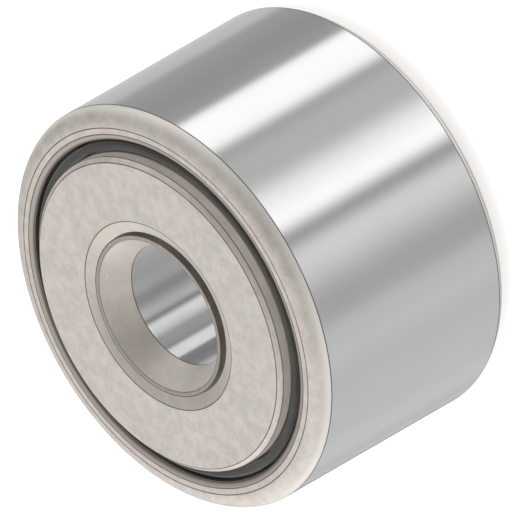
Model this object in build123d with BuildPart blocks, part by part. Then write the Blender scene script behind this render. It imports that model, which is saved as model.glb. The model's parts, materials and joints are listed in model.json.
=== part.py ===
import os

from build123d import *

# Sealed yoke-type support roller, standing on its lower end face.
# The roller turns about Z, and the lower end face lies in the plane Z = 0.
# Every ring is turned, so each one is a section revolved about the axis.

# Driving dimensions, in millimetres

# Sizes by which the roller is chosen; its ends stand out beyond the outer ring's faces
roller_dia = 31.75
roller_width = 19.05
end_stand_out = 0.79375
bore_dia = 9.525

# Outer ring; the rim is its wall round the seal
rim_wall = 2.405
corner_radial = 1.44
corner_axial = 1.0
lip_radial = 0.47
lip_axial = 0.18

# Inner ring; the land is its flat end, between the bore's mouth and the end plate
bore_mouth_radial = 1.2375
bore_mouth_axial = 2.08
land_width = 0.285
oil_hole_dia = 2.38

# End plates
plate_thickness = 2.38
plate_edge_radial = 0.34
plate_edge_axial = 0.22
plate_mouth_radial = 1.145
plate_mouth_axial = 0.52

# Seal rings; the groove is the open space between the seal's rim and the outer ring
seal_thickness = 0.8
seal_rim_width = 0.39
seal_groove_width = 0.4
seal_recess = 0.14
seal_bore_step = 0.17

# Needle rollers and their cage; the inset is how far their pitch circle lies inside the
# middle of the wall between the bore and the tread
pitch_inset = 0.81875
needle_dia = 3.0
needle_count = 14
needle_chamfer = 0.2
cage_wall = 1.9
cage_end_ring = 0.7

# Running clearances
race_clearance = 0.03
thrust_clearance = 0.12
plate_rim_clearance = 0.28
pocket_clearance = 0.05
needle_end_clearance = 0.05
cage_end_clearance = 0.2

# Radii worked out from the driving dimensions
roller_radius = roller_dia / 2
counterbore_radius = roller_radius - rim_wall
seal_rim_outer_radius = counterbore_radius - seal_groove_width
seal_rim_inner_radius = seal_rim_outer_radius - seal_rim_width
plate_radius = seal_rim_inner_radius - plate_rim_clearance
bore_radius = bore_dia / 2
mouth_radius = bore_radius + bore_mouth_radial
spigot_radius = mouth_radius + land_width
pitch_radius = (roller_radius + bore_radius) / 2 - pitch_inset
needle_radius = needle_dia / 2
inner_race_radius = pitch_radius - needle_radius - race_clearance
outer_race_radius = pitch_radius + needle_radius + race_clearance
seal_bore_radius = outer_race_radius + seal_bore_step
cage_inner_radius = pitch_radius - cage_wall / 2
cage_outer_radius = pitch_radius + cage_wall / 2
pocket_radius = needle_radius + pocket_clearance

# Distances from the middle plane, the same towards both ends
ring_face = roller_width / 2
end_face = ring_face + end_stand_out
plate_back = end_face - plate_thickness
seal_front = plate_back - thrust_clearance
seal_seat = seal_front - seal_thickness
seal_rim_top = ring_face - seal_recess

# Lengths along the axis
cage_length = 2 * (plate_back - cage_end_clearance)
pocket_length = cage_length - 2 * cage_end_ring
needle_length = pocket_length - 2 * needle_end_clearance
middle_height = end_face


def section_plane(direction):
    """Plane through the axis: its X is the radius, its Y the distance from the middle plane.

    A direction of 1 measures that distance upwards, and -1 downwards.
    """
    return Plane(origin=(0, 0, middle_height), x_dir=(1, 0, 0), z_dir=(0, -direction, 0))


os.makedirs("parts", exist_ok=True)

# Outer ring: cylindrical tread, a seal counterbore with a bevelled lip at each end, and corners
# that are rounded from the flat end face down to the tread, which they meet at a slight edge
with BuildPart() as outer_ring:
    with BuildSketch(section_plane(1)):
        with BuildLine():
            Polyline(
                (outer_race_radius, 0),
                (outer_race_radius, seal_seat),
                (counterbore_radius, seal_seat),
                (counterbore_radius, ring_face - lip_axial),
                (counterbore_radius + lip_radial, ring_face),
                (roller_radius - corner_radial, ring_face),
            )
            TangentArc(
                (roller_radius - corner_radial, ring_face),
                (roller_radius, ring_face - corner_axial),
                tangent=(1, 0),
            )
            Line((roller_radius, ring_face - corner_axial), (roller_radius, 0))
            mirror(about=Plane.XZ)
        make_face()
    revolve(axis=Axis.Z)
outer_ring.part.label = "outer_ring"
export_step(outer_ring.part, "parts/outer_ring.step")

# Inner ring: needle raceway, a spigot for each end plate, conical mouths, one oil hole
with BuildPart() as inner_ring:
    with BuildSketch(section_plane(1)):
        with BuildLine():
            Polyline(
                (bore_radius, 0),
                (bore_radius, end_face - bore_mouth_axial),
                (mouth_radius, end_face),
                (spigot_radius, end_face),
                (spigot_radius, plate_back),
                (inner_race_radius, plate_back),
                (inner_race_radius, 0),
            )
            mirror(about=Plane.XZ)
        make_face()
    revolve(axis=Axis.Z)
    with BuildSketch(Plane.YZ):
        with Locations((0, middle_height)):
            Circle(oil_hole_dia / 2)
    extrude(amount=pitch_radius, mode=Mode.SUBTRACT)
inner_ring.part.label = "inner_ring"
export_step(inner_ring.part, "parts/inner_ring.step")

for side, direction in (("upper", 1), ("lower", -1)):
    # End plate: pressed on the spigot against the raceway's shoulder, flush with the end face
    with BuildPart() as end_plate:
        with BuildSketch(section_plane(direction)):
            with BuildLine():
                Polyline(
                    (spigot_radius, plate_back),
                    (plate_radius, plate_back),
                    (plate_radius, end_face - plate_edge_axial),
                    (plate_radius - plate_edge_radial, end_face),
                    (spigot_radius + plate_mouth_radial, end_face),
                    (spigot_radius, end_face - plate_mouth_axial),
                    close=True,
                )
            make_face()
        revolve(axis=Axis.Z)
    end_plate.part.label = f"{side}_end_plate"
    export_step(end_plate.part, f"parts/{side}_end_plate.step")

    # Seal ring: a disc seated in the counterbore, with a rim that rises round the plate
    with BuildPart() as seal_ring:
        with BuildSketch(section_plane(direction)):
            with BuildLine():
                Polyline(
                    (seal_bore_radius, seal_seat),
                    (counterbore_radius, seal_seat),
                    (counterbore_radius, seal_front),
                    (seal_rim_outer_radius, seal_front),
                    (seal_rim_outer_radius, seal_rim_top),
                    (seal_rim_inner_radius, seal_rim_top),
                    (seal_rim_inner_radius, seal_front),
                    (seal_bore_radius, seal_front),
                    close=True,
                )
            make_face()
        revolve(axis=Axis.Z)
    seal_ring.part.label = f"{side}_seal_ring"
    export_step(seal_ring.part, f"parts/{side}_seal_ring.step")

# Needle cage: a sleeve with one round-sided pocket for each needle, which holds it in and out
with BuildPart() as needle_cage:
    with BuildSketch(Plane.XY.offset(middle_height)):
        Circle(cage_outer_radius)
        Circle(cage_inner_radius, mode=Mode.SUBTRACT)
    extrude(amount=cage_length / 2, both=True)
    with BuildSketch(Plane.XY.offset(middle_height)):
        with PolarLocations(pitch_radius, needle_count):
            Circle(pocket_radius)
    extrude(amount=pocket_length / 2, both=True, mode=Mode.SUBTRACT)
needle_cage.part.label = "needle_cage"
export_step(needle_cage.part, "parts/needle_cage.step")

# Needle rollers: one in each pocket, the first on the side of +X
for number in range(needle_count):
    with BuildPart() as needle:
        with BuildSketch(Plane.XY.offset(middle_height)):
            with PolarLocations(pitch_radius, 1, start_angle=number * 360 / needle_count):
                Circle(needle_radius)
        extrude(amount=needle_length / 2, both=True)
        chamfer(needle.edges().filter_by(GeomType.CIRCLE), needle_chamfer)
    needle.part.label = f"needle_{number + 1:02d}"
    export_step(needle.part, f"parts/needle_{number + 1:02d}.step")
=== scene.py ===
# %% [markdown]
# # A sealed support roller
# The roller is a steel ring that turns on caged needle rollers round a plain bore. An end plate
# is pressed on at each end, and a black seal ring closes the gap between the plate and the ring.
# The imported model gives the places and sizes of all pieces, so it is loaded first. The scene
# adds the finely turned shapes and the finishes round it, and never moves it.

# %% Load the frame
import json
import math

import bmesh
import bpy
from mathutils import Euler, Matrix, Vector

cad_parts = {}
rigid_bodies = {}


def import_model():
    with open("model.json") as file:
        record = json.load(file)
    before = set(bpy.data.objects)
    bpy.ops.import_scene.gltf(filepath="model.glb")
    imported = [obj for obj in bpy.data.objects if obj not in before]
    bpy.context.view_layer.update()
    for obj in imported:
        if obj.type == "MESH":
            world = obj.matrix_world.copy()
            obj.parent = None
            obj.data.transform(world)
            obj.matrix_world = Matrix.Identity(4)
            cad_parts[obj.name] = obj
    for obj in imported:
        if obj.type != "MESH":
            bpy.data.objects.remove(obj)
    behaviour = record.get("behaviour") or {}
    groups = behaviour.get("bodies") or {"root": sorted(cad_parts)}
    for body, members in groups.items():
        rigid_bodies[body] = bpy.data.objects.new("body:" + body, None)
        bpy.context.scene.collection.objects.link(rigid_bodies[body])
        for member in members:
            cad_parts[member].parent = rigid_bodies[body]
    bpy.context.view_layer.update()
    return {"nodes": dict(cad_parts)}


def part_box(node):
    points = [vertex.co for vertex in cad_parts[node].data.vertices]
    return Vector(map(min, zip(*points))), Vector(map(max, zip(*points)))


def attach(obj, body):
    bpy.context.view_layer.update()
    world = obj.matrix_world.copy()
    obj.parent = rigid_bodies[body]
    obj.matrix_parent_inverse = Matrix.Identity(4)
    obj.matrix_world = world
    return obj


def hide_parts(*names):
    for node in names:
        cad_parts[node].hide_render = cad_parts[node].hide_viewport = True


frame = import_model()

mm = 0.001
print("pieces in the frame:", len(frame["nodes"]))

# %% [markdown]
# ## Sizes
# Blender works in metres here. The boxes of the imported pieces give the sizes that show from
# outside. What a box can't tell, such as a chamfer, is a named value of its own. Radii are
# measured from the axis, and heights from the roller's middle plane, because both ends are alike.

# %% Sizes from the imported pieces
_, ring_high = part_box("outer_ring")
plate_low, plate_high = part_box("upper_end_plate")
seal_low, seal_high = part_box("upper_seal_ring")
inner_low, inner_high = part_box("inner_ring")
needle_low, needle_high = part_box("needle_01")
middle = (inner_low.z + inner_high.z) / 2

tread_radius = ring_high.x
plate_radius = plate_high.x
counterbore_radius = seal_high.x
inner_race_radius = inner_high.x
ring_face = ring_high.z - middle
end_face = inner_high.z - middle
plate_back = plate_low.z - middle
seal_seat = seal_low.z - middle
seal_rim_top = seal_high.z - middle
needle_radius = (needle_high.x - needle_low.x) / 2
pitch_radius = (needle_high.x + needle_low.x) / 2
print("tread radius", round(tread_radius / mm, 3), "mm, end face", round(end_face / mm, 3), "mm")

# %% [markdown]
# ## Camera
# The photograph shows the roller with its axis running from lower left to upper right, and with
# no perspective at all, so the camera is orthographic. It looks down on the upper end face at the
# angle of an isometric drawing, and it is rolled until the axis slopes as it does in the picture.
# A person would turn the camera by eye. Exact angles give the same view in every run.

# %% Camera at the photograph's viewing angle
VIEW_DROP = math.atan(math.sqrt(0.5))
VIEW_ROLL = math.radians(-120)
PICTURE_PIXELS = 515
PIXEL = 31.75 * mm / 442
CAMERA_DISTANCE = 0.3
OBJECT_RIGHT_OF_CENTRE = 2.1
OBJECT_ABOVE_CENTRE = 0.1

roll = Euler((0, 0, VIEW_ROLL)).to_matrix()
turn_down = Euler((math.pi / 2 - VIEW_DROP, 0, 0)).to_matrix() @ roll
picture_right, picture_up, picture_back = turn_down.transposed()
bpy.ops.object.camera_add()
camera = bpy.context.active_object
camera.data.type = "ORTHO"
camera.data.ortho_scale = PICTURE_PIXELS * PIXEL
camera.rotation_euler = turn_down.to_euler()
camera.location = (
    Vector((0, 0, middle))
    - picture_right * OBJECT_RIGHT_OF_CENTRE * PIXEL
    - picture_up * OBJECT_ABOVE_CENTRE * PIXEL
    + picture_back * CAMERA_DISTANCE
)
bpy.context.scene.camera = camera
bpy.context.scene.view_settings.view_transform = "Standard"
print("camera at", [round(value, 4) for value in camera.location])

# %% [markdown]
# ## Floor
# The roller stands on a plain white floor, which keeps its shadow. The floor lies a hair lower than
# the roller, because two faces in the same plane flicker through each other. Polished steel would
# mirror the floor's white over the whole tread, where a studio has dark gaps between its strip
# lights. So mirror rays pass the floor and meet the studio below.

# %% Floor
FLOOR_SIZE = 1.5
FLOOR_DROP = 0.01 * mm

bpy.ops.object.select_all(action="DESELECT")
bpy.ops.mesh.primitive_plane_add(size=FLOOR_SIZE, location=(0, 0, -FLOOR_DROP))
floor = bpy.context.active_object
floor.name = "floor"
floor.visible_glossy = False
print("floor", FLOOR_SIZE, "m wide")

# %% [markdown]
# ## Helpers for nodes
# A finish is a chain of nodes, and so is the light of a studio. In the editor each node is added
# and wired by hand. These helpers do the same in one line each: they add a node, do a sum, compare
# two directions, or fade smoothly from one value to another.

# %% Helpers for nodes
def new_node(tree, kind, **settings):
    """Adds a node and sets its properties."""
    node = tree.nodes.new(kind)
    for name, value in settings.items():
        setattr(node, name, value)
    return node


def maths(tree, operation, first, second=None, third=None):
    """A Math node on sockets or plain numbers."""
    node = new_node(tree, "ShaderNodeMath", operation=operation)
    for place, value in enumerate((first, second, third)):
        if isinstance(value, bpy.types.NodeSocket):
            tree.links.new(value, node.inputs[place])
        elif value is not None:
            node.inputs[place].default_value = value
    return node.outputs["Value"]


def dot(tree, socket, direction):
    """How far a direction agrees with a fixed one, from -1 to 1."""
    node = new_node(tree, "ShaderNodeVectorMath", operation="DOT_PRODUCT")
    tree.links.new(socket, node.inputs[0])
    node.inputs[1].default_value = direction
    return node.outputs["Value"]


def smooth_range(tree, socket, from_low, from_high, to_low, to_high):
    """A smooth step between two values, as the socket goes from one bound to the other."""
    node = new_node(tree, "ShaderNodeMapRange", interpolation_type="SMOOTHSTEP")
    tree.links.new(socket, node.inputs["Value"])
    node.inputs["From Min"].default_value = from_low
    node.inputs["From Max"].default_value = from_high
    node.inputs["To Min"].default_value = to_low
    node.inputs["To Max"].default_value = to_high
    return node.outputs["Result"]


# %% [markdown]
# ## Floor paint
# The floor is painted in matt white, and the background of a product picture is pure white. More
# light would get it there, but it would bleach the roller too. So the paint glows a little by
# itself, and only for the camera: the Light Path node tells a camera ray from all other rays.

# %% Floor paint, whiter for the camera than for the roller
FLOOR_WHITE = 0.75
CAMERA_GLOW = 0.62

floor_paint = bpy.data.materials.new("floor_paint")
floor_paint.use_nodes = True
paint = floor_paint.node_tree.nodes["Principled BSDF"]
paint.inputs["Base Color"].default_value = (FLOOR_WHITE, FLOOR_WHITE, FLOOR_WHITE, 1)
paint.inputs["Roughness"].default_value = 1
paint.inputs["Specular IOR Level"].default_value = 0
paint.inputs["Emission Color"].default_value = (1, 1, 1, 1)
seen_by_camera = new_node(floor_paint.node_tree, "ShaderNodeLightPath").outputs["Is Camera Ray"]
floor_glow = maths(floor_paint.node_tree, "MULTIPLY", seen_by_camera, CAMERA_GLOW)
floor_paint.node_tree.links.new(floor_glow, paint.inputs["Emission Strength"])
floor.data.materials.append(floor_paint)
print("floor paint:", FLOOR_WHITE, "white, with a glow of", CAMERA_GLOW)

# %% [markdown]
# ## Light
# Metal has no colour of its own to light up: it shows its surroundings. In a studio these are a
# wide soft light with strip lights, soft boxes and dark flags in it, and a round part turns each
# strip into one straight streak from end to end. They could stand round the roller as glowing
# planes. Here they are painted on the world, where each needs only its place in the sky: a strip
# or a flag beside it has a compass angle for each of its two soft edges, and a box has a direction
# and the reach of its edge. A flag has a strength below zero, because it takes light away.

# %% Strips, boxes and flags of the studio
STRIPS = {
    "edge_flag": {"rise": (-2, -1), "fall": (4, 18), "strength": -0.36},
    "low_flag": {"rise": (16, 24), "fall": (28, 40), "strength": -0.08},
    "broad": {"rise": (95, 115), "fall": (126, 135), "strength": 0.11},
    "faint": {"rise": (140, 170), "fall": (170, 181), "strength": 0.48},
    "second": {"rise": (180, 190.5), "fall": (192, 218), "strength": 1.05},
    "valley": {"rise": (196, 208), "fall": (228, 246), "strength": 0.28},
    "main": {"rise": (237.5, 246.5), "fall": (266, 271), "strength": 1.02},
    "dark_flag": {"rise": (276, 290), "fall": (312, 320), "strength": -0.06},
    "side": {"rise": (313, 322), "fall": (346, 359), "strength": 0.17},
}
SOFT_BOXES = {
    "near_box": {"side": (-0.52, 0.83, -0.05), "reach": (0.72, 0.97), "strength": 0.18},
    "far_box": {"side": (0.90, -0.15, 0.35), "reach": (0.68, 1.0), "strength": 0.32},
    "high_box": {"side": (-0.5, 0.5, 0.7), "reach": (0.75, 1.0), "strength": 0.13},
    "side_flag": {"side": (-0.97, 0.15, 0.15), "reach": (0.80, 1.0), "strength": -0.22},
    "grey_flag": {"side": (0.48, 0.82, 0.31), "reach": (0.88, 0.97), "strength": -0.28},
}
print("studio strips:", ", ".join(STRIPS))
print("boxes and flags:", ", ".join(SOFT_BOXES))

# %% [markdown]
# The wide soft light is a dome that is brighter on one side and darker below the horizon. Its
# direction is a vector of length one, so its Z says how high a place in the sky is, and the
# arctangent of the other two gives its compass angle.

# %% Dome of the studio
DOME_LEVEL = 0.87
DOME_SWING = 0.45
DOME_BRIGHT_SIDE = Vector((-0.633, 0.754, -0.174))
BELOW_HORIZON = 0.58
HORIZON_FADE = (-0.38, -0.08)

world = bpy.data.worlds.new("studio")
bpy.context.scene.world = world
world.use_nodes = True
studio = world.node_tree
studio.nodes.clear()
direction = new_node(studio, "ShaderNodeTexCoord").outputs["Generated"]
direction_parts = new_node(studio, "ShaderNodeSeparateXYZ")
studio.links.new(direction, direction_parts.inputs[0])
sky_height = direction_parts.outputs["Z"]
minus_y = maths(studio, "MULTIPLY", direction_parts.outputs["Y"], -1)
sky_angle = maths(studio, "ARCTAN2", direction_parts.outputs["X"], minus_y)
compass = maths(studio, "MULTIPLY_ADD", sky_angle, 180 / math.pi, 180)

dome = maths(studio, "MULTIPLY_ADD", dot(studio, direction, DOME_BRIGHT_SIDE), DOME_SWING, DOME_LEVEL)
horizon_fade = smooth_range(studio, sky_height, *HORIZON_FADE, BELOW_HORIZON, 1)
light = maths(studio, "MULTIPLY", dome, horizon_fade)
print("dome level", DOME_LEVEL, "and", BELOW_HORIZON, "of it below the horizon")

# %% [markdown]
# The boxes, the strips and two weak glows are added on top of the dome's light, one by one. The
# strips stand below the horizon, because an upright tread that is seen from above mirrors what
# lies below it. The glows are what a pale room gives back: a band at the horizon and a patch
# straight below the roller.

# %% Boxes, strips and glows on the dome
HORIZON_GLOW = 0.04
HORIZON_GLOW_RISE = (-0.2, 0)
HORIZON_GLOW_FALL = (0.35, 0.55)
UNDERFOOT_GLOW = 0.22
UNDERFOOT_FADE = (-0.9, -0.7)
STRIP_TOP_FADE = (-0.25, 0.1)

for box in SOFT_BOXES.values():
    agreement = dot(studio, direction, Vector(box["side"]).normalized())
    light = maths(studio, "ADD", light, smooth_range(studio, agreement, *box["reach"], 0, box["strength"]))
over_horizon = smooth_range(studio, sky_height, *HORIZON_GLOW_RISE, 0, HORIZON_GLOW)
under_zenith = smooth_range(studio, sky_height, *HORIZON_GLOW_FALL, 1, 0)
light = maths(studio, "MULTIPLY_ADD", over_horizon, under_zenith, light)
underfoot = smooth_range(studio, sky_height, *UNDERFOOT_FADE, UNDERFOOT_GLOW, 0)
light = maths(studio, "ADD", light, underfoot)
strip_top = smooth_range(studio, sky_height, *STRIP_TOP_FADE, 1, 0)
for strip in STRIPS.values():
    rise = smooth_range(studio, compass, *strip["rise"], 0, strip["strength"])
    fall = smooth_range(studio, compass, *strip["fall"], 1, 0)
    strip_glow = maths(studio, "MULTIPLY", rise, fall)
    light = maths(studio, "MULTIPLY_ADD", strip_glow, strip_top, light)
print("on the dome:", len(SOFT_BOXES), "boxes and flags,", len(STRIPS), "strips and flags, 2 glows")

# %% [markdown]
# A picture's background is what the camera sees straight ahead, not what lights the roller. So the
# Light Path node gives a camera ray plain white, at a strength of 1, and any other ray the studio.

# %% White for the camera
camera_ray = new_node(studio, "ShaderNodeLightPath").outputs["Is Camera Ray"]
choose = new_node(studio, "ShaderNodeMix", data_type="FLOAT")
studio.links.new(camera_ray, choose.inputs["Factor"])
studio.links.new(light, choose.inputs["A"])
choose.inputs["B"].default_value = 1
background = new_node(studio, "ShaderNodeBackground")
background.inputs["Color"].default_value = (1, 1, 1, 1)
studio.links.new(choose.outputs["Result"], background.inputs["Strength"])
output = new_node(studio, "ShaderNodeOutputWorld")
studio.links.new(background.outputs["Background"], output.inputs["Surface"])
print("world nodes:", len(studio.nodes))

# %% [markdown]
# The dome lights the roller from all round, so by itself it gives hardly any shadow. One large and
# weak disc lamp overhead adds to it. Its size keeps the shadow soft, and mirror rays don't meet it.

# %% Soft lamp overhead
LAMP_SIZE = 0.5
LAMP_HEIGHT = 0.5
LAMP_WATTS = 0.8

bpy.ops.object.light_add(type="AREA", location=(0, 0, LAMP_HEIGHT))
lamp = bpy.context.active_object
lamp.name = "soft_lamp_overhead"
lamp.data.shape = "DISK"
lamp.data.size = LAMP_SIZE
lamp.data.energy = LAMP_WATTS
lamp.visible_glossy = False
print("lamp", LAMP_WATTS, "W")

# %% [markdown]
# ## Finishes
# All steel here is turned or ground on a lathe, so its finest marks run round the axis. One value
# that grows outwards and upwards gives each of those marks its own number, on flat ends, tread
# and cones alike. A noise along that value makes the marks, and a wider noise in space makes the
# faint cloudy patches that a satin face shows. A picture of steel could be wrapped round instead,
# but it would need unwrapped surfaces, and nodes stay sharp at any distance.

# %% Helpers for colour and noise
LATHE_CLIMB = 1.3


def colour(red, green, blue):
    """An RGBA colour from screen values of 0 to 255."""
    def linear(value):
        share = value / 255
        return share / 12.92 if share <= 0.04045 else ((share + 0.055) / 1.055) ** 2.4
    return (linear(red), linear(green), linear(blue), 1)


def new_material(name):
    """A material with a Principled shader, and the Object coordinates to build on."""
    material = bpy.data.materials.new(name)
    material.use_nodes = True
    place = new_node(material.node_tree, "ShaderNodeTexCoord").outputs["Object"]
    return material, material.node_tree, material.node_tree.nodes["Principled BSDF"], place


def lathe_mark(tree, place):
    """A value that is the same all round the axis, and changes outwards and upwards."""
    parts = new_node(tree, "ShaderNodeSeparateXYZ")
    tree.links.new(place, parts.inputs[0])
    flat = new_node(tree, "ShaderNodeVectorMath", operation="MULTIPLY")
    tree.links.new(place, flat.inputs[0])
    flat.inputs[1].default_value = (1, 1, 0)
    radius = new_node(tree, "ShaderNodeVectorMath", operation="LENGTH")
    tree.links.new(flat.outputs["Vector"], radius.inputs[0])
    return maths(tree, "MULTIPLY_ADD", parts.outputs["Z"], LATHE_CLIMB, radius.outputs["Value"])


def noise(tree, scale, place=None, along=None, detail=2.0, roughness=0.5):
    """A noise in space, or along one value. More roughness keeps more of its small detail."""
    node = new_node(tree, "ShaderNodeTexNoise", noise_dimensions="3D" if place else "1D")
    tree.links.new(place or along, node.inputs["Vector" if place else "W"])
    node.inputs["Scale"].default_value = scale
    node.inputs["Detail"].default_value = detail
    node.inputs["Roughness"].default_value = roughness
    return node.outputs["Fac"]


# %% [markdown]
# A finish is laid on in layers: first the bare surface between two close colours, then what
# covers it, and then the bump of its fine marks. A layer may cover only the deeper part of a
# surface. Such layers here are painted light: painted shade deep round the seal, on the lip and at
# the plate's rim, and a painted highlight on the outer corner.

# %% Helpers for layers and bump
RAMP_LOW = 0.35
RAMP_HIGH = 0.65


def blend_colours(tree, factor, first, second):
    """A colour ramp from one colour to the other over the middle of a noise."""
    ramp = new_node(tree, "ShaderNodeValToRGB")
    tree.links.new(factor, ramp.inputs["Fac"])
    ramp.color_ramp.elements[0].position = RAMP_LOW
    ramp.color_ramp.elements[0].color = first
    ramp.color_ramp.elements[1].position = RAMP_HIGH
    ramp.color_ramp.elements[1].color = second
    return ramp.outputs["Color"]


def cover(tree, under, over, share):
    """A colour laid over another, as far as the share says."""
    layer = new_node(tree, "ShaderNodeMix", data_type="RGBA")
    tree.links.new(share, layer.inputs["Factor"])
    tree.links.new(under, layer.inputs[6])
    layer.inputs[7].default_value = over
    return layer.outputs[2]


def below(tree, place, untouched_height, covered_height):
    """How far a layer covers: none at the first height above the middle, all at the lower one."""
    parts = new_node(tree, "ShaderNodeSeparateXYZ")
    tree.links.new(place, parts.inputs[0])
    above = maths(tree, "ABSOLUTE", maths(tree, "SUBTRACT", parts.outputs["Z"], middle))
    return smooth_range(tree, above, covered_height, untouched_height, 1, 0)


def add_bump(tree, shader, value, height):
    """Raises the surface by the value, times a real height in metres."""
    bump = new_node(tree, "ShaderNodeBump")
    bump.inputs["Strength"].default_value = 1
    bump.inputs["Distance"].default_value = height
    tree.links.new(value, bump.inputs["Height"])
    tree.links.new(bump.outputs["Normal"], shader.inputs["Normal"])


# %% [markdown]
# ## Steel
# A ground face mirrors clearly. A satin face scatters what it mirrors, and it has a fine grey
# mottling and a few light specks that ground steel has not. All of them are one recipe with other
# numbers, so one function makes every steel. The roughness goes up and down with the lathe's
# marks, and the edge tint darkens a face that is seen at a glancing angle.

# %% Recipe for steel
CLOUD_GREY = colour(150, 143, 136)
CLOUD_SCALE = 1100
CLOUD_RANGE = (0.3, 0.7)
SPECK_LIGHT = colour(226, 216, 192)
SPECK_SCALE = 2200
SPECK_RANGE = (0.68, 0.76)
SPECK_STRENGTH = 0.5
ROUGHNESS_SWING = 0.12


def steel(name, first, second, roughness, patch_scale, mark_scale, mark_height,
          cloud=0.0, layers=(), edge_tint=0.8):
    """A turned or ground steel, with cloudy patches and fine marks round the axis.

    Each layer is painted shade or painted light: a colour with the height above the middle where it starts
    and where it covers all.
    The edge tint is how much of the light the steel returns at a glancing angle.
    """
    material, tree, shader, place = new_material(name)
    shader.inputs["Metallic"].default_value = 1
    shader.inputs["Specular Tint"].default_value = (edge_tint, edge_tint, edge_tint, 1)
    patches = noise(tree, patch_scale, place=place, detail=3)
    marks = noise(tree, mark_scale, along=lathe_mark(tree, place), detail=3)
    surface = blend_colours(tree, patches, first, second)
    if cloud:
        mottling = noise(tree, CLOUD_SCALE, place=place, detail=7, roughness=0.7)
        surface = cover(tree, surface, CLOUD_GREY, smooth_range(tree, mottling, *CLOUD_RANGE, 0, cloud))
        specks = smooth_range(tree, noise(tree, SPECK_SCALE, place=place), *SPECK_RANGE, 0, SPECK_STRENGTH)
        surface = cover(tree, surface, SPECK_LIGHT, specks)
    for over, untouched_height, covered_height in layers:
        surface = cover(tree, surface, over, below(tree, place, untouched_height, covered_height))
    tree.links.new(surface, shader.inputs["Base Color"])
    shine = maths(tree, "MULTIPLY_ADD", marks, ROUGHNESS_SWING, roughness - ROUGHNESS_SWING / 2)
    tree.links.new(shine, shader.inputs["Roughness"])
    add_bump(tree, shader, marks, mark_height)
    return material


# %% [markdown]
# The tread and the bore are ground. The flat end faces are satin, and so are the round corner and
# the lip of the counterbore. The corner is painted lighter towards the tread, as a painted
# highlight. The lip is painted darker the deeper it reaches, as painted shade, and a low edge tint
# darkens its glancing reflection too. The bore's steel is painted a little darker than the tread,
# as painted shade for the studio light that gets less far into it.

# %% Ground and satin steel
SATIN = dict(
    first=colour(210, 199, 194), second=colour(204, 201, 193), roughness=0.42,
    patch_scale=600, mark_scale=6000, mark_height=0.0004 * mm, cloud=0.36)

ground_steel = steel(
    "ground_steel", colour(219, 219, 219), colour(221, 221, 222), 0.14, 250, 9000, 0.00002 * mm)
# Painted shade: the bore's steel is a little darker than the tread's.
bore_steel = steel(
    "bore_steel", colour(180, 180, 181), colour(186, 186, 187), 0.14, 250, 9000, 0.00002 * mm)
satin_steel = steel("satin_steel", **SATIN)
# Painted highlight: the corner is painted lighter towards the tread.
corner_steel = steel("corner_steel", **SATIN, layers=[
    (colour(228, 225, 218), ring_face - 0.25 * mm, ring_face - 0.85 * mm)])
# Painted shade: the lip and the counterbore's wall get darker with depth, and a low edge tint darkens them
# at a glancing angle.
lip_steel = steel("lip_steel", **SATIN, edge_tint=0.4, layers=[
    (colour(170, 162, 154), ring_face + 0.05 * mm, ring_face - 0.01 * mm),
    (colour(66, 62, 59), ring_face - 0.03 * mm, ring_face - 0.18 * mm),
    (colour(12, 12, 12), ring_face - 0.3 * mm, ring_face - 0.8 * mm)])
print("ground and satin steel:", ground_steel.name, bore_steel.name, satin_steel.name)

# %% [markdown]
# The land and the end plate's rim are turned but not finished further, so they are rougher and
# darker. The cones are painted a little darker than the satin faces, as painted shade in the
# mouths, and the plate's rim is painted darker at its foot, as painted shade beside the seal. The
# joint where the plate is pressed on the inner ring holds old oil, and the spigot's wall above the
# plate's mouth is painted dark with it, as painted shade in the groove. A broken edge has lost its
# shine. Both show as fine dark lines.

# %% Turned steel, joints and edges
land_steel = steel(
    "land_steel", colour(162, 153, 147), colour(155, 153, 145), 0.45, 800, 6000, 0.0004 * mm, cloud=0.2)
# Painted shade: the cones are a little darker than the satin faces.
cone_steel = steel(
    "cone_steel", colour(199, 189, 182), colour(192, 188, 179), 0.42, 600, 6000, 0.0004 * mm, cloud=0.2)
# Painted shade: the rim is dark at its foot beside the seal.
plate_rim_steel = steel(
    "plate_rim_steel", colour(176, 168, 160), colour(184, 177, 168), 0.65, 700, 5000, 0.0006 * mm,
    layers=[(colour(66, 62, 59), seal_rim_top - 0.06 * mm, seal_rim_top - 0.29 * mm)])
# Partly painted shade: dark as old oil in the joint, and as shade on the spigot's wall in the groove.
joint_oil_and_shade_steel = steel(
    "joint_oil_and_shade_steel", colour(88, 81, 75), colour(98, 91, 84), 0.5, 900, 7000, 0.0004 * mm)
edge_steel = steel(
    "edge_steel", colour(112, 106, 100), colour(124, 117, 110), 0.5, 900, 9000, 0.0002 * mm)
print("turned steel:", land_steel.name, cone_steel.name, plate_rim_steel.name, edge_steel.name)

# %% [markdown]
# ## Rubber, and painted shade in the gap
# The seal rings are moulded from black rubber. Rubber is matt and never quite black: it has a
# fine grain from its mould, and a little dust and grease make it grey in places. Below its rim it
# is painted near black, as painted shade. The same recipe with browner colours is painted shade
# deep in the gap outside the seal's rim, on the counterbore's wall and the seal's outer foot.

# %% Rubber, and painted shade for the gap
SOFT_ROUGHNESS_SWING = 0.2


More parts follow.
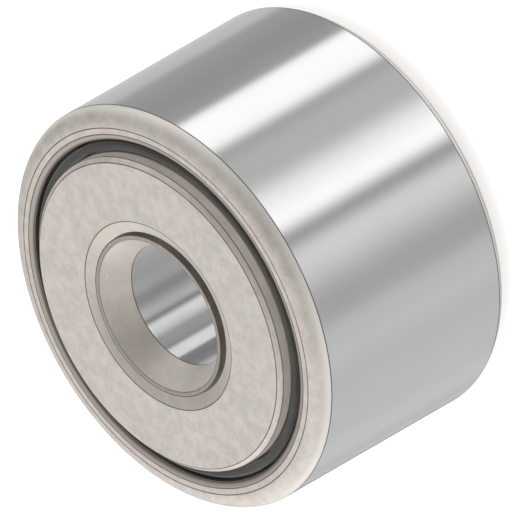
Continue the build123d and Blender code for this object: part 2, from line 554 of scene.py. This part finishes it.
def soft_finish(name, first, second, patch_scale, roughness, gloss, grain_scale, grain_detail,
                grain_height, layers=()):
    """A matt finish that is patchy in colour and roughness, with a fine grain as its bump."""
    material, tree, shader, place = new_material(name)
    patches = noise(tree, patch_scale, place=place, detail=3)
    surface = blend_colours(tree, patches, first, second)
    for over, untouched_height, covered_height in layers:
        surface = cover(tree, surface, over, below(tree, place, untouched_height, covered_height))
    tree.links.new(surface, shader.inputs["Base Color"])
    shine = maths(tree, "MULTIPLY_ADD", patches, SOFT_ROUGHNESS_SWING, roughness)
    tree.links.new(shine, shader.inputs["Roughness"])
    shader.inputs["Specular IOR Level"].default_value = gloss
    grain = noise(tree, grain_scale, place=place, detail=grain_detail)
    add_bump(tree, shader, grain, grain_height)
    return material


# Painted shade: the rubber is painted near black below its rim.
rubber = soft_finish(
    "seal_rubber", colour(57, 55, 51), colour(69, 67, 62), 500, 0.4, 0.25, 9000, 4, 0.004 * mm,
    layers=[(colour(16, 16, 16), seal_rim_top - 0.15 * mm, seal_rim_top - 0.5 * mm)])
# Painted shade: a dark matt coat deep in the gap outside the seal's rim.
gap_painted_shade = soft_finish(
    "painted_shade_in_the_gap", colour(38, 36, 34), colour(48, 45, 42), 700, 0.7, 0.1, 700, 3, 0.01 * mm)
print("rubber and grease:", rubber.name, gap_painted_shade.name)

# %% [markdown]
# ## Turning a ring
# Every ring of the roller is a turned part, so one outline says it all. A lathe tool follows such
# an outline, and so does this helper: it starts with a circle, and for each corner of the outline
# it extrudes the circle's edges, lifts them and scales them to the next radius. Where the outline
# closes, the last circle is welded to the first. Spinning a flat section would give the same
# ring, but here each step is one corner of the real part.

# %% Helper for turning
AROUND = 256
WELD = 0.001 * mm


def turn(name, outline):
    """Walks a circle round a closed outline of (radius, height above the middle) corners."""
    bpy.ops.object.select_all(action="DESELECT")
    radius, height = outline[0]
    bpy.ops.mesh.primitive_circle_add(vertices=AROUND, radius=radius, location=(0, 0, middle + height))
    ring = bpy.context.active_object
    ring.name = ring.data.name = name
    bpy.ops.object.transform_apply(location=True)
    bpy.ops.object.mode_set(mode="EDIT")
    bpy.ops.mesh.select_all(action="SELECT")
    for next_radius, next_height in [*outline[1:], outline[0]]:
        bpy.ops.mesh.extrude_edges_move(TRANSFORM_OT_translate={"value": (0, 0, next_height - height)})
        grow = next_radius / radius
        bpy.ops.transform.resize(value=(grow, grow, 1), center_override=(0, 0, 0))
        radius, height = next_radius, next_height
    bpy.ops.mesh.select_all(action="SELECT")
    bpy.ops.mesh.remove_doubles(threshold=WELD)
    bpy.ops.mesh.normals_make_consistent(inside=False)
    bpy.ops.object.mode_set(mode="OBJECT")
    return ring


# %% [markdown]
# Both ends of the roller are alike, so an outline is drawn for the upper half only and mirrored.
# A round form in it is an arc that leaves the flat face smoothly, cut into short steps.

# %% Helpers for outlines
def both_ends(upper):
    """The outline's upper half, followed by its mirror image below the middle plane."""
    return [*upper, *((radius, -height) for radius, height in reversed(upper))]


def arc(start, end, inwards=False, steps=8):
    """The points between start and end, on an arc that leaves the flat face at start smoothly."""
    across = abs(end[0] - start[0])
    down = start[1] - end[1]
    radius = (across**2 + down**2) / (2 * down)
    sweep = math.asin(across / radius)
    side = -1 if inwards else 1
    angles = [sweep * step / steps for step in range(1, steps)]
    return [
        (start[0] + side * radius * math.sin(angle), start[1] - radius * (1 - math.cos(angle)))
        for angle in angles
    ]


# %% [markdown]
# No real edge is sharp: a file or a tumbling drum breaks it. A narrow bevel does the same here. The
# circles of edges to bevel are found by their radius and height, as a person would pick them by eye
# and loop-select them. The faces of a ring get their finishes by the same two measures. A weighted
# normal then keeps the wide faces true where smooth shading would bend the light at their edges.

# %% Helpers for edges and finishes
def near(one, other):
    """True where two (radius, height) places are the same."""
    return abs(one[0] - other[0]) < WELD and abs(one[1] - other[1]) < WELD


def section_place(point):
    """A mesh point's (radius, height above the middle)."""
    return (math.hypot(point.x, point.y), point.z - middle)


def break_edges(ring, corners, size, segments=2, finish=None):
    """Bevels the circles of edges at the given corners, and gives the new faces a finish."""
    bpy.ops.object.mode_set(mode="EDIT")
    bpy.ops.mesh.select_mode(type="EDGE")
    bpy.ops.mesh.select_all(action="DESELECT")
    mesh = bmesh.from_edit_mesh(ring.data)
    for edge in mesh.edges:
        places = [section_place(vertex.co) for vertex in edge.verts]
        edge.select_set(any(all(near(place, corner) for place in places) for corner in corners))
    bmesh.update_edit_mesh(ring.data)
    slot = -1 if finish is None else ring.data.materials.find(finish.name)
    bpy.ops.mesh.bevel(offset=size, offset_type="OFFSET", segments=segments, material=slot)
    bpy.ops.object.mode_set(mode="OBJECT")


def smooth(ring):
    """Shades smoothly, with the wide faces kept true up to their narrow broken edges."""
    bpy.ops.object.shade_smooth()
    bpy.ops.object.modifier_add(type="WEIGHTED_NORMAL")
    bpy.ops.object.modifier_apply(modifier=ring.modifiers[-1].name)


def finish_faces(ring, finishes):
    """Gives each face the first finish whose test it passes, by its middle's radius and height."""
    for finish, _ in finishes:
        ring.data.materials.append(finish)
    for face in ring.data.polygons:
        radius, height = section_place(face.center)
        for number, (_, test) in enumerate(finishes):
            if test(radius, abs(height)):
                face.material_index = number
                break


# %% [markdown]
# ## Outer ring
# The outer ring is hardened steel. Its tread is ground and polished, its ends are turned to a
# satin finish, and a counterbore at each end takes the seal. The counterbore's lip and the outer
# corner are round, so both are arcs in the outline. A bevel could round them, but an arc keeps
# their unequal width and depth. Every edge is broken, which shows as a fine dark line.

# %% Outline of the outer ring
lip_width = 0.47 * mm
lip_depth = 0.18 * mm
corner_width = 1.44 * mm
corner_depth = 1.0 * mm
# How deep the counterbore's wall stays bare before its painted shade starts.
shade_depth = 0.45 * mm
race_clearance = 0.03 * mm
outer_race_radius = pitch_radius + needle_radius + race_clearance

seat_inside = (outer_race_radius, seal_seat)
seat_outside = (counterbore_radius, seal_seat)
shade_line = (counterbore_radius, ring_face - shade_depth)
lip_foot = (counterbore_radius, ring_face - lip_depth)
lip_top = (counterbore_radius + lip_width, ring_face)
corner_top = (tread_radius - corner_width, ring_face)
corner_foot = (tread_radius, ring_face - corner_depth)
lip_curve = arc(lip_top, lip_foot, inwards=True)[::-1]
corner_curve = arc(corner_top, corner_foot, steps=14)
outer_outline = both_ends([
    seat_inside, seat_outside, shade_line, lip_foot, *lip_curve, lip_top,
    corner_top, *corner_curve, corner_foot])
print("outer ring's outline:", len(outer_outline), "corners")

# %% [markdown]
# The outline is turned, and its faces get their finishes from the outside in: the first test that
# a face passes decides. The last finish is for no face yet. It waits for the broken edges.

# %% Outer ring
EDGE_BREAK = 0.045 * mm

outer_ring = turn("outer_ring_turned", outer_outline)
finish_faces(outer_ring, [
    (ground_steel, lambda radius, height: height < ring_face - corner_depth and radius > lip_top[0]),
    # Painted shade on the counterbore's wall below the shade line.
    (gap_painted_shade, lambda radius, height: radius < lip_foot[0] and height < shade_line[1]),
    (lip_steel, lambda radius, height: radius < lip_top[0]),
    (corner_steel, lambda radius, height: radius > corner_top[0]),
    (satin_steel, lambda radius, height: True),
    (edge_steel, lambda radius, height: False),
])
outer_edges = both_ends([lip_foot, lip_top, corner_top, corner_foot])
break_edges(outer_ring, outer_edges, EDGE_BREAK, finish=edge_steel)
smooth(outer_ring)
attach(outer_ring, "outer")
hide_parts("outer_ring")
print("outer ring:", len(outer_ring.data.polygons), "faces")

# %% [markdown]
# ## Inner ring
# The inner ring has a plain ground bore with a wide conical mouth at each end, a raceway for the
# needles, and a spigot at each end on which the end plate is pressed. It is turned like the outer
# ring. Two extra corners beside the oil hole keep the long faces whole where the drill comes later.

# %% Outline of the inner ring
bore_radius = 4.7625 * mm
mouth_width = 1.2375 * mm
mouth_depth = 2.08 * mm
land_width = 0.39 * mm
seam_width = 0.08 * mm
OIL_HOLE_RADIUS = 1.19 * mm
HOLE_MARGIN = 1.1

mouth_radius = bore_radius + mouth_width
spigot_radius = mouth_radius + land_width
mouth_foot = (bore_radius, end_face - mouth_depth)
mouth_top = (mouth_radius, end_face)
seam_top = (spigot_radius - seam_width, end_face)
spigot_top = (spigot_radius, end_face)
spigot_foot = (spigot_radius, plate_back)
race_end = (inner_race_radius, plate_back)
bore_by_hole = (bore_radius, HOLE_MARGIN * OIL_HOLE_RADIUS)
race_by_hole = (inner_race_radius, HOLE_MARGIN * OIL_HOLE_RADIUS)
inner_outline = both_ends([
    bore_by_hole, mouth_foot, mouth_top, seam_top, spigot_top, spigot_foot, race_end, race_by_hole])
print("inner ring's outline:", len(inner_outline), "corners")

# %% Inner ring
FINE_EDGE_BREAK = 0.03 * mm

inner_ring = turn("inner_ring_turned", inner_outline)
finish_faces(inner_ring, [
    (bore_steel, lambda radius, height: height < end_face - mouth_depth and radius < spigot_radius),
    (ground_steel, lambda radius, height: radius > spigot_radius),
    # Old oil in the joint, and painted shade on the spigot's wall above the plate's mouth.
    (joint_oil_and_shade_steel, lambda radius, height: radius > seam_top[0]),
    (land_steel, lambda radius, height: radius > mouth_radius),
    (cone_steel, lambda radius, height: True),
    (edge_steel, lambda radius, height: False),
])
break_edges(inner_ring, both_ends([mouth_foot]), EDGE_BREAK, finish=edge_steel)
break_edges(inner_ring, both_ends([mouth_top]), FINE_EDGE_BREAK, finish=edge_steel)
break_edges(inner_ring, both_ends([spigot_top]), FINE_EDGE_BREAK, finish=joint_oil_and_shade_steel)
print("inner ring turned:", len(inner_ring.data.polygons), "faces")

# %% [markdown]
# The oil hole brings grease from the pin to the needles, through one side of the ring. A drill is a
# plain cylinder here, and a boolean takes its space out of the ring, as drilling does. The cage's
# pockets are cut the same way later, so the cut is a helper.

# %% Oil hole in the inner ring
CUTTER_SIDES = 64


def cut_out(piece, cutter):
    """Takes the cutter's space out of the piece, and deletes the cutter."""
    bpy.ops.object.select_all(action="DESELECT")
    piece.select_set(True)
    bpy.context.view_layer.objects.active = piece
    cut = piece.modifiers.new("cut", "BOOLEAN")
    cut.operation = "DIFFERENCE"
    cut.object = cutter
    bpy.ops.object.modifier_apply(modifier=cut.name)
    bpy.data.objects.remove(cutter)


bpy.ops.object.select_all(action="DESELECT")
bpy.ops.mesh.primitive_cylinder_add(
    vertices=CUTTER_SIDES, radius=OIL_HOLE_RADIUS, depth=pitch_radius,
    location=(pitch_radius / 2, 0, middle), rotation=(0, math.pi / 2, 0))
drill = bpy.context.active_object
cut_out(inner_ring, drill)
smooth(inner_ring)
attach(inner_ring, "inner")
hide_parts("inner_ring")
print("inner ring:", len(inner_ring.data.polygons), "faces")

# %% [markdown]
# ## End plates
# An end plate is a thick washer with a chamfer outside and a shallow conical mouth inside. It is
# pressed on the inner ring's spigot and holds the needles and the seal in. Both ends are alike, so
# a loop makes each piece twice: heights are counted away from the middle, and the lower piece
# takes them with the sign turned round. Mirroring a finished plate would turn its faces inside out.

# %% Outline of an end plate
plate_edge_width = 0.34 * mm
plate_edge_depth = 0.34 * mm
plate_mouth_width = 1.04 * mm
plate_mouth_depth = 0.52 * mm

plate_outline = [
    (spigot_radius, plate_back),
    (plate_radius, plate_back),
    (plate_radius, end_face - plate_edge_depth),
    (plate_radius - plate_edge_width, end_face),
    (spigot_radius + plate_mouth_width, end_face),
    (spigot_radius, end_face - plate_mouth_depth),
]
print("end plate's outline:", len(plate_outline), "corners")

# %% End plates
FACE_TOLERANCE = 0.01 * mm


def towards(side, outline):
    """The outline at the upper end, or turned over to the lower end."""
    return [(radius, height if side == "upper" else -height) for radius, height in outline]


for side in ("upper", "lower"):
    outline = towards(side, plate_outline)
    plate = turn(f"{side}_end_plate_turned", outline)
    finish_faces(plate, [
        (plate_rim_steel, lambda radius, height: radius > plate_radius - FACE_TOLERANCE),
        (cone_steel, lambda radius, height: radius < spigot_radius + plate_mouth_width),
        (satin_steel, lambda radius, height: True),
        (edge_steel, lambda radius, height: False),
    ])
    break_edges(plate, outline[2:], EDGE_BREAK, finish=edge_steel)
    smooth(plate)
    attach(plate, "inner")
    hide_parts(f"{side}_end_plate")
    print(plate.name, len(plate.data.polygons), "faces")

# %% [markdown]
# ## Seal rings
# A seal ring is a rubber disc in the counterbore, with a rim that rises round the end plate and
# keeps dirt out. It is moulded and not turned, but it is round all the same, so the turning helper
# makes it too. Its edges get a wider, rounder bevel than steel, and its rim slopes on the outside.

# %% Outline of a seal ring
thrust_clearance = 0.12 * mm
seal_bore_step = 0.17 * mm
seal_groove_width = 0.4 * mm
seal_rim_width = 0.43 * mm
seal_slope_width = 0.17 * mm
seal_slope_depth = 0.25 * mm

seal_front = plate_back - thrust_clearance
seal_bore_radius = outer_race_radius + seal_bore_step
seal_rim_outer = counterbore_radius - seal_groove_width
seal_rim_inner = seal_rim_outer - seal_rim_width
seal_slope_foot = seal_rim_top - seal_slope_depth - FACE_TOLERANCE
seal_outline = [
    (seal_bore_radius, seal_seat),
    (counterbore_radius, seal_seat),
    (counterbore_radius, seal_front),
    (seal_rim_outer + seal_slope_width, seal_front),
    (seal_rim_outer + seal_slope_width, seal_rim_top - seal_slope_depth),
    (seal_rim_outer, seal_rim_top),
    (seal_rim_inner, seal_rim_top),
    (seal_rim_inner, seal_front),
    (seal_bore_radius, seal_front),
]
print("seal ring's outline:", len(seal_outline), "corners")

# %% Seal rings
SEAL_ROUND = 0.07 * mm

for side in ("upper", "lower"):
    outline = towards(side, seal_outline)
    seal = turn(f"{side}_seal_ring_moulded", outline)
    finish_faces(seal, [
        # Painted shade on the seal's outer foot and the floor of the gap.
        (gap_painted_shade, lambda radius, height: radius > seal_rim_outer and height < seal_slope_foot),
        (rubber, lambda radius, height: True),
    ])
    break_edges(seal, outline, SEAL_ROUND, segments=3)
    smooth(seal)
    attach(seal, "outer")
    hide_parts(f"{side}_seal_ring")
    print(seal.name, len(seal.data.polygons), "faces")

# %% [markdown]
# ## Cage
# The cage is a steel sleeve with one round-sided pocket for each needle, which keeps the needles
# apart and stops them from tilting. Its pockets are drilled and pierced on the real one. Here
# each pocket has a cutter, a cylinder a little thicker and longer than the needle. The cutters
# are joined, and one boolean takes all of them out of the turned sleeve.

# %% Sleeve of the cage
CAGE_EDGE_BREAK = 0.1 * mm
cage_wall = 1.9 * mm
_, cage_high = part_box("needle_cage")
cage_end = cage_high.z - middle
cage_steel = steel(
    "cage_steel", colour(150, 146, 140), colour(164, 160, 152), 0.45, 700, 5000, 0.0004 * mm)

cage_outline = [
    (pitch_radius - cage_wall / 2, cage_end),
    (pitch_radius + cage_wall / 2, cage_end),
]
cage = turn("needle_cage_sleeve", both_ends(cage_outline))
cage.data.materials.append(cage_steel)
break_edges(cage, both_ends(cage_outline), CAGE_EDGE_BREAK, segments=3)
print("sleeve:", len(cage.data.polygons), "faces")

# %% [markdown]
# A pocket is open towards both raceways, so that the needle touches them. Its cutter starts at the
# first needle's place, and copies of it stand at all the others.

# %% Pockets of the cage
NEEDLES = 14
NEEDLE_PLAY = 0.05 * mm
needle_end = needle_high.z - middle


def turned_copy(piece, name, share):
    """A copy with a mesh of its own, moved round the roller's axis by a share of one turn."""
    copy = piece.copy()
    copy.data = piece.data.copy()
    copy.name = copy.data.name = name
    copy.data.transform(Matrix.Rotation(2 * math.pi * share, 4, "Z"))
    bpy.context.scene.collection.objects.link(copy)
    return copy


bpy.ops.object.select_all(action="DESELECT")
bpy.ops.mesh.primitive_cylinder_add(
    vertices=CUTTER_SIDES, radius=needle_radius + NEEDLE_PLAY, depth=2 * (needle_end + NEEDLE_PLAY),
    location=(pitch_radius, 0, middle))
pocket_cutter = bpy.context.active_object
bpy.ops.object.transform_apply(location=True)
for number in range(1, NEEDLES):
    turned_copy(pocket_cutter, f"cutter_{number}", number / NEEDLES).select_set(True)
bpy.ops.object.join()
cut_out(cage, pocket_cutter)
smooth(cage)
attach(cage, "cage")
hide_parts("needle_cage")
print("cage:", NEEDLES, "pockets,", len(cage.data.polygons), "faces")

# %% [markdown]
# ## Needles
# A needle is a slim roller, hardened and ground all over. Its ends are rounded, because a sharp
# end would scrape the cage and the race. One needle is modelled at its place in the first
# pocket, from a cylinder whose end edges are selected by their height and bevelled.

# %% Pattern for the needles
NEEDLE_SIDES = 48
needle_end_round = 0.2 * mm
needle_steel = steel(
    "needle_steel", colour(214, 214, 215), colour(222, 222, 223), 0.2, 400, 9000, 0.00002 * mm)

bpy.ops.object.select_all(action="DESELECT")
bpy.ops.mesh.primitive_cylinder_add(
    vertices=NEEDLE_SIDES, radius=needle_radius, depth=2 * needle_end, location=(pitch_radius, 0, middle))
pattern = bpy.context.active_object
pattern.data.materials.append(needle_steel)
bpy.ops.object.transform_apply(location=True)
bpy.ops.object.mode_set(mode="EDIT")
bpy.ops.mesh.select_mode(type="EDGE")
bpy.ops.mesh.select_all(action="DESELECT")
pattern_mesh = bmesh.from_edit_mesh(pattern.data)
for edge in pattern_mesh.edges:
    first, second = edge.verts[0].co, edge.verts[1].co
    at_an_end = abs(first.z - middle) > needle_end - WELD and abs(second.z - middle) > needle_end - WELD
    edge.select_set(at_an_end and abs(first.z - second.z) < WELD)
bmesh.update_edit_mesh(pattern.data)
bpy.ops.mesh.bevel(offset=needle_end_round, offset_type="OFFSET", segments=4)
bpy.ops.object.mode_set(mode="OBJECT")
smooth(pattern)
print("pattern:", len(pattern.data.polygons), "faces")

# %% [markdown]
# The pattern is copied round the axis. Each copy has its own mesh and rides on its own body, so
# every needle rolls by itself when the outer ring turns. An array would be quicker, but it would
# make one piece of all needles.

# %% Needles
for number in range(NEEDLES):
    name = f"needle_{number + 1:02d}"
    needle = turned_copy(pattern, f"{name}_ground", number / NEEDLES)
    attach(needle, name)
    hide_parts(name)
bpy.data.objects.remove(pattern)
print("needles:", NEEDLES, "with", len(needle.data.polygons), "faces each")

# %% [markdown]
# Mirror rays pass the pieces as they pass the floor, so each face of steel shows the studio alone.

# %% Finish
for thing in bpy.data.objects:
    if thing.type == "MESH":
        thing.visible_glossy = False
